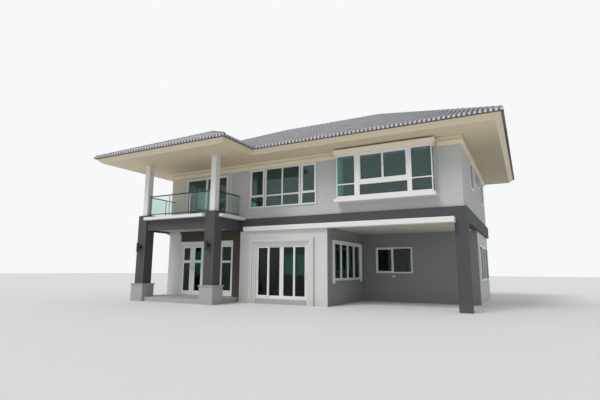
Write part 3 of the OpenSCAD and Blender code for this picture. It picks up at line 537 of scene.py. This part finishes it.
class Slope:
    """One face of the roof, seen from above: a point of its edge, and the ways along and inwards."""

    def __init__(self, start, along, inward):
        self.start = Vector((*start, 0))
        self.along = Vector((*along, 0))
        self.inward = Vector((*inward, 0))
        self.normal = (UP - self.inward * PITCH).normalized()

    def at(self, u, d, lift):
        """The point u along and d inwards, at a height of lift over the face."""
        flat = self.start + self.along * u + self.inward * d
        return flat + UP * (EDGE_Z + PITCH * d) + self.normal * lift

    def under(self, p):
        d = (p - self.start).dot(self.inward)
        return Vector((p.x, p.y, EDGE_Z + PITCH * d - UNDER / self.normal.z))


def keep_inside(bm, p, q, back):
    """Cuts away what lies right of the line from p to q, moved back, seen from above."""
    ahead = (Vector((*q, 0)) - Vector((*p, 0))).normalized()
    out = Vector((ahead.y, -ahead.x, 0))
    everything = bm.verts[:] + bm.edges[:] + bm.faces[:]
    bmesh.ops.bisect_plane(bm, geom=everything, plane_co=Vector((*p, 0)) - out * back,
                           plane_no=out, clear_outer=True)


def tile_grid(bm, slope, width, run, draw):
    """Ribbed courses over a rectangle of one slope, with what the tiles' finish reads: the tone of each
    tile, and how high on a rib and how far from the overlap a corner of a face lies, which set the
    painted shade in the troughs and at the overlaps."""
    tone = bm.faces.layers.float.new("tone")
    crest = bm.loops.layers.float.new("crest")
    tiles = math.ceil((width / RIB + 2 * SPARE_RIBS) / RIBS_PER_TILE)
    ribs = range(-SPARE_RIBS, tiles * RIBS_PER_TILE - SPARE_RIBS)
    shape = [(k + t, h) for k in ribs for t, h in RIB_SHAPE]
    per_tile = RIBS_PER_TILE * len(RIB_SHAPE)
    above = None
    for c in range(math.ceil((run + OVERHANG) / COURSE) + 1):
        nudge = [draw.uniform(*SWELL) for _ in range(tiles)]
        tones = [draw.random() for _ in range(tiles)]
        start = c * COURSE - OVERHANG
        lower = [bm.verts.new(slope.at(t * RIB, start, BASE + STEP + h * (1 + nudge[k // per_tile])))
                 for k, (t, h) in enumerate(shape)]
        end = (c + 1) * COURSE - OVERHANG
        upper = [bm.verts.new(slope.at(t * RIB, end, BASE + h)) for t, h in shape]
        pairs = [(lower, upper, OVERLAP_SHADE)]
        if above:
            pairs.insert(0, (above, lower, 1))
        for low, high, fade in pairs:
            for k in range(len(shape) - 1):
                face = bm.faces.new((low[k], low[k + 1], high[k + 1], high[k]))
                face[tone] = tones[k // per_tile]
                for loop, j, by in zip(face.loops, (k, k + 1, k + 1, k), (1, 1, fade, fade)):
                    loop[crest] = by * shape[j][1] / RIB_HEIGHT
        above = upper


def close_under(bm, slope):
    """Turns the clipped tile surface into a solid with a flat underside inside the roof."""
    bmesh.ops.dissolve_degenerate(bm, dist=1e-5, edges=bm.edges)
    rim = [e for e in bm.edges if e.is_boundary]
    made = bmesh.ops.extrude_edge_only(bm, edges=rim)["geom"]
    for v in (g for g in made if isinstance(g, bmesh.types.BMVert)):
        v.co = slope.under(v.co)
    bmesh.ops.contextual_create(bm, geom=[g for g in made if isinstance(g, bmesh.types.BMEdge)])


def tile_slope(name, slope, width, run, cuts, seed):
    """Tiles of one slope. cuts are the (from, to, how far back) that bound it besides its edge."""
    piece = Builder()
    tile_grid(piece.bm, slope, width, run, random.Random(seed))
    for p, q, back in cuts:
        keep_inside(piece.bm, p, q, back)
    close_under(piece.bm, slope)
    piece.finish(name, "house", "roof_tiles", 32, paint=TILE_PAINT)


def make_tiles():
    ridge_right, ridge_left = (RIDGE_RIGHT, RIDGE_Y), (RIDGE_LEFT, RIDGE_Y)
    front_right, back_right, back_left = (EX1, EY0), (EX1, EY1), (EX0, EY1)
    wing_left, wing_right, inner = (EX0, WEY0), (WEX1, WEY0), (WEX1, EY0)
    wing_end, wing_top, split = (WING_X, WING_END), (WING_X, WING_START), (EX0, WING_END)
    front = Slope((WING_X - FRONT_SHIFT, EY0), (1, 0), (0, 1))
    left = Slope(back_left, (0, -1), (1, 0))
    tile_slope("roof_tiles_front", front, EX1 - WING_X, MAIN,
               [(front_right, ridge_right, 0), (ridge_right, ridge_left, 0),
                (ridge_left, wing_end, 0), (wing_end, inner, VALLEY_GAP)], 1)
    tile_slope("roof_tiles_right", Slope(front_right, (0, 1), (-1, 0)), EY1 - EY0, MAIN,
               [(back_right, ridge_right, 0), (ridge_right, front_right, 0)], 2)
    tile_slope("roof_tiles_back", Slope(back_right, (-1, 0), (0, -1)), EX1 - EX0, MAIN,
               [(back_left, ridge_left, 0), (ridge_left, ridge_right, 0),
                (ridge_right, back_right, 0)], 3)
    # The main roof's left slope runs on into the wing's, so both draw the same tiles
    tile_slope("roof_tiles_left", left, EY1 - WING_END, MAIN,
               [(split, wing_end, 0), (wing_end, ridge_left, 0), (ridge_left, back_left, 0)], 4)
    tile_slope("roof_tiles_wing_left", left, EY1 - WEY0, WING,
               [(wing_left, wing_top, 0), (wing_top, wing_end, 0), (wing_end, split, 0)], 4)
    tile_slope("roof_tiles_wing_front", Slope(wing_left, (1, 0), (0, 1)), WEX1 - EX0, WING,
               [(wing_right, wing_top, 0), (wing_top, wing_left, 0)], 5)
    tile_slope("roof_tiles_wing_right", Slope(wing_right, (0, 1), (-1, 0)), EY0 - WEY0 + WING, WING,
               [(inner, wing_end, VALLEY_GAP), (wing_end, wing_top, 0),
                (wing_top, wing_right, 0)], 6)


def make_valley():
    """Bent metal strip along the valley, lying on both slopes."""
    past, reach = 0.03, 0.16                # how far it runs past the corner and up each slope
    thick, lift = 0.003, 0.004              # its thickness and its height over the roof
    low = Vector((WEX1 + past, EY0 - past, EDGE_Z - past * PITCH))
    high = Vector((WING_X, WING_END, WING_TOP))
    rings = []
    for p in (low, high):
        side = [p + Vector((0, reach, reach * PITCH)), p, p + Vector((-reach, 0, reach * PITCH))]
        under = [q + UP * lift for q in side]
        over = [q + UP * (lift + thick) for q in side]
        rings.append(under + over[::-1])
    piece = Builder()
    piece.loft(rings)
    piece.finish("valley_gutter", "house", "roof_tiles")


CAP_LENGTH = 0.285
CAP_LEAN = math.radians(12)             # a cap's arc goes on by this angle below its widest place
FOOT_SIDE, FOOT_DOWN = 0.06, 0.045      # its foot lies this far beside and below its middle
CAP_WOBBLE = 0.0015                     # and its wide end at most this much too high or too low
# Along one cap: share of its length and radius, from its wide lower end to its end under the next
CAP_STEPS = ((0, 0.094), (0.02, 0.0985), (0.10, 0.0985), (0.13, 0.0915), (1.06, 0.087))
# The round nose of a hip's lowest cap: distance along the hip and radius, and its height over it
NOSE_STEPS = ((0.05, 0.1), (0.03, 0.1), (0.01, 0.093), (-0.01, 0.075), (-0.022, 0.05),
              (-0.028, 0.02))
NOSE_LIFT = 0.004
# The domed caps where ridges and hips meet; each starts this far down
KNOT_RADIUS, KNOT_THICK, KNOT_DOME, KNOT_DOWN = 0.099, 0.09, 0.055, 0.05


def cap_ring(p, ahead, radius, steps=12):
    """The outline of a cap at p, across the way ahead: an arc between two feet."""
    side = ahead.cross(UP).normalized()
    up = side.cross(ahead)
    turn = [-CAP_LEAN + (math.pi + 2 * CAP_LEAN) * k / steps for k in range(steps + 1)]
    points = [p + side * math.cos(t) * radius + up * math.sin(t) * radius for t in turn]
    aside, down = side * FOOT_SIDE, up * FOOT_DOWN
    return [p + aside - down] + points + [p - aside - down]


def cap_run(piece, a, b, draw, nose=False):
    """Caps from a up to b, each over the end of the one before."""
    a, b = Vector(a), Vector(b)
    ahead = (b - a).normalized()
    count = max(1, round((b - a).length / CAP_LENGTH))
    each = (b - a).length / count
    for i in range(count):
        bend = draw.uniform(-CAP_WOBBLE, CAP_WOBBLE)
        rings = []
        for share, radius in CAP_STEPS:
            at = a + ahead * each * min(i + share, count)
            rings.append(cap_ring(at + UP * bend * (1 - share), ahead, radius))
        piece.loft(rings)
    if nose:
        piece.loft([cap_ring(a + ahead * s + UP * NOSE_LIFT, ahead, r) for s, r in NOSE_STEPS])


def make_caps():
    draw = random.Random(11)
    piece = Builder()
    right, left = (RIDGE_RIGHT, RIDGE_Y, MAIN_TOP), (RIDGE_LEFT, RIDGE_Y, MAIN_TOP)
    wing_end, wing_top = (WING_X, WING_END, WING_TOP), (WING_X, WING_START, WING_TOP)
    cap_run(piece, left, right, draw)
    cap_run(piece, wing_top, wing_end, draw)
    cap_run(piece, wing_end, left, draw)
    for x, y, top in ((EX1, EY0, right), (EX1, EY1, right), (EX0, EY1, left),
                      (EX0, WEY0, wing_top), (WEX1, WEY0, wing_top)):
        cap_run(piece, (x, y, EDGE_Z), top, draw, nose=True)
    for at in (right, left, wing_end, wing_top):
        piece.disc(Vector(at) - UP * KNOT_DOWN, KNOT_RADIUS, UP, KNOT_THICK, KNOT_DOME)
    piece.finish("roof_caps", "house", "roof_tiles", 45, ["ridge_caps"])


def moulding(name, corners, section, slot):
    """A section swept round a closed outline with mitres. Section points are (outwards, height)."""
    corners = [Vector((*c, 0)) for c in corners]
    piece = Builder()
    rings = []
    for i, at in enumerate(corners):
        outs = []
        for p, q in ((corners[i - 1], at), (at, corners[(i + 1) % len(corners)])):
            ahead = (q - p).normalized()
            outs.append(Vector((ahead.y, -ahead.x, 0)))
        mitre = (outs[0] + outs[1]) / (1 + outs[0].dot(outs[1]))
        rings.append([piece.bm.verts.new(at + mitre * o + UP * z) for o, z in section])
    for i, ring in enumerate(rings):
        after = rings[(i + 1) % len(rings)]
        for j in range(len(ring)):
            k = (j + 1) % len(ring)
            piece.bm.faces.new((ring[j], ring[k], after[k], after[j]))
    piece.finish(name, "house", slot)


# The bead under the eaves: its outline's distance from the roof's edge, and its section
BEAD_INSET = 0.16
BEAD_SECTION = ((-0.03, SOFFIT_Z + 0.004), (-0.03, SOFFIT_Z - 0.006), (-0.024, SOFFIT_Z - 0.010),
                (-0.008, SOFFIT_Z - 0.010), (-0.002, SOFFIT_Z - 0.004), (0.004, SOFFIT_Z + 0.004))


def make_bead():
    left, right, wing_right = EX0 + BEAD_INSET, EX1 - BEAD_INSET, WEX1 - BEAD_INSET
    front, back, wing_front = EY0 + BEAD_INSET, EY1 - BEAD_INSET, WEY0 + BEAD_INSET
    outline = [(left, wing_front), (wing_right, wing_front), (wing_right, front), (right, front),
               (right, back), (left, back)]
    moulding("eave_bead", outline, BEAD_SECTION, "cream_trim")


def solids_of(node):
    """Corners of the boxes round each separate solid of a CAD node."""
    mesh = nodes[node].data
    key = [tuple(round(c, 4) for c in v.co) for v in mesh.vertices]
    group = {k: k for k in key}

    def root(k):
        while group[k] != k:
            group[k] = group[group[k]]
            k = group[k]
        return k

    for face in mesh.polygons:
        for i in face.vertices[1:]:
            group[root(key[i])] = root(key[face.vertices[0]])
    found = {}
    for k in group:
        found.setdefault(root(k), []).append(k)
    return sorted((tuple(map(min, zip(*ks))), tuple(map(max, zip(*ks)))) for ks in found.values())


SEAL_WIDTH = 0.009
SEAL_PROUD = 0.004          # a seal's height over the pane
SEAL_SUNK = 0.0005          # and its depth in it


def seal_ring(piece, low, high, axis):
    """A square ring inside the outline of a pane, whose thin direction is axis."""
    across = 1 - axis
    rims = []
    for inset in (0, SEAL_WIDTH):
        a0, a1 = low[across] + inset, high[across] - inset
        z0, z1 = low[2] + inset, high[2] - inset
        rims += [(a0, z0), (a1, z0), (a1, z1), (a0, z1)]
    points = [(t, a, z) if axis == 0 else (a, t, z) for t in (low[axis], high[axis]) for a, z in rims]
    faces = []
    for i in range(4):
        j = (i + 1) % 4
        faces += [(i, j, j + 4, i + 4), (i + 8, i + 12, j + 12, j + 8), (i, i + 8, j + 8, j),
                  (i + 4, j + 4, j + 12, i + 12)]
    piece.solid(points, faces)


def make_seals(name, body, panes):
    """Dark rubber seals on both faces of each pane of the nodes."""
    piece = Builder()
    for node in panes:
        for low, high in solids_of(node):
            axis = 0 if high[0] - low[0] < high[1] - low[1] else 1
            for start, end in ((low[axis] - SEAL_PROUD, low[axis] + SEAL_SUNK),
                               (high[axis] - SEAL_SUNK, high[axis] + SEAL_PROUD)):
                a, b = list(low), list(high)
                a[axis], b[axis] = start, end
                seal_ring(piece, a, b, axis)
    piece.finish(name, body, "black_metal")


def joints(sizes, *stops):
    """Joint lines from stop to stop, with tiles of about the size given for each stretch."""
    found = [stops[0]]
    for size, start, end in zip(sizes, stops, stops[1:]):
        count = max(1, round((end - start) / size))
        found += [start + (end - start) * i / count for i in range(1, count + 1)]
    return found


TILE_JOINT, TILE_THICK, TILE_EDGE = 0.002, 0.008, 0.0015
# What stands on the floors, as (left, right, front, back), and the heights of their tiles' undersides
PORCH_PLINTHS = ((-6.64, -5.97, -5.1, -4.455), (-2.90, -2.23, -5.1, -4.455))
BALCONY_POSTS = ((-6.6, -6.06, -5.0, -4.545), (-2.81, -2.2, -5.0, -4.545))
PORCH_FLOOR, BALCONY_FLOOR = 0.1705, 3.4305


def floor_tiles(name, xs, ys, z, blocked):
    """Stone tiles with open joints. Those whose middle lies in a blocked rectangle are left out."""
    piece = Builder()
    for x0, x1 in zip(xs, xs[1:]):
        for y0, y1 in zip(ys, ys[1:]):
            mx, my = (x0 + x1) / 2, (y0 + y1) / 2
            if any(a < mx < b and c < my < d for a, b, c, d in blocked):
                continue
            rings = []
            for inset, h in ((TILE_JOINT, 0), (TILE_JOINT, TILE_THICK - TILE_EDGE),
                             (TILE_JOINT + TILE_EDGE, TILE_THICK)):
                a, b, c, d = x0 + inset, x1 - inset, y0 + inset, y1 - inset
                rings.append([(a, c, z + h), (b, c, z + h), (b, d, z + h), (a, d, z + h)])
            piece.loft(rings)
    piece.finish(name, "house", "floor")


def make_floors():
    floor_tiles("porch_tiles", joints((0.3, 0.3, 0.3), -6.51, -5.97, -2.90, -2.36),
                joints((0.25, 0.3), -4.945, -4.455, -3.116), PORCH_FLOOR, PORCH_PLINTHS)
    floor_tiles("balcony_tiles", joints((0.25, 0.3, 0.25), -6.289, -6.06, -2.81, -2.581),
                joints((0.2, 0.3), -4.724, -4.545, -3.206), BALCONY_FLOOR, BALCONY_POSTS)


# Lenses as (centre, way that they face, radius, thickness): wall lamps shine down and up
DOWN = Vector((0, 0, -1))
WALL_LENSES = [((x, -5.15, z), way, 0.0555, 0.006)
               for x in (-6.305, -2.565) for z, way in ((2.075, DOWN), (2.385, UP))]
CEILING_LENSES = [((x, y, 2.945), DOWN, 0.0475, 0.014) for x, y in ((3.92, -1.215), (4.30, -1.265))]
LENS_DOME = 0.008


def make_lamps():
    piece = Builder()
    for centre, way, radius, thick in WALL_LENSES + CEILING_LENSES:
        piece.disc(centre, radius, way, thick, LENS_DOME)
    piece.finish("lamp_lenses", "house", "lamp_white")


# Latches stand on the faces of the sashes, the socket on the carport's back wall
BAY_FACE, CARPORT_FACE, CARPORT_WALL = -3.463, 0.432, 0.465
LATCHES = ((3.9425, BAY_FACE, 5.05), (4.79, BAY_FACE, 5.05), (3.09, CARPORT_FACE, 1.76))


def latch(piece, x, y, z):
    """A sliding sash's latch on a face at y: a plate and a curved thumb piece."""
    piece.block((x - 0.012, y - 0.007, z - 0.045), (x + 0.012, y + 0.001, z + 0.045), 0.002)
    piece.tube([(x, y - 0.004, z + 0.026), (x, y - 0.018, z + 0.020), (x, y - 0.020, z - 0.006),
                (x, y - 0.014, z - 0.026)], 0.006)


def make_hardware():
    """The latches, and a socket in the carport: a plate and a raised cover."""
    piece = Builder()
    for place in LATCHES:
        latch(piece, *place)
    piece.finish("window_latches", "house", "steel")
    piece = Builder()
    wall = CARPORT_WALL
    piece.block((3.06, wall - 0.014, 1.032), (3.18, wall, 1.108), 0.004)
    piece.block((3.075, wall - 0.024, 1.045), (3.165, wall - 0.012, 1.097), 0.005)
    piece.finish("carport_socket", "house", "white_frame")


make_camera()
make_floor()
make_world()
for sun in SUNS:
    make_sun(*sun)
paint_nodes()
make_tiles()
make_valley()
make_caps()
make_bead()
make_floors()
make_lamps()
make_hardware()
make_seals("window_seals", "house", ["upper_window_glass", "ground_window_glass"])
for side in ("left", "right"):
    make_seals(f"door_seals_{side}", f"door_{side}", [f"door_glass_{side}"])
    make_seals(f"slide_seals_{side}", f"slide_{side}", [f"slide_glass_{side}"])

scene.view_settings.view_transform = "Standard"
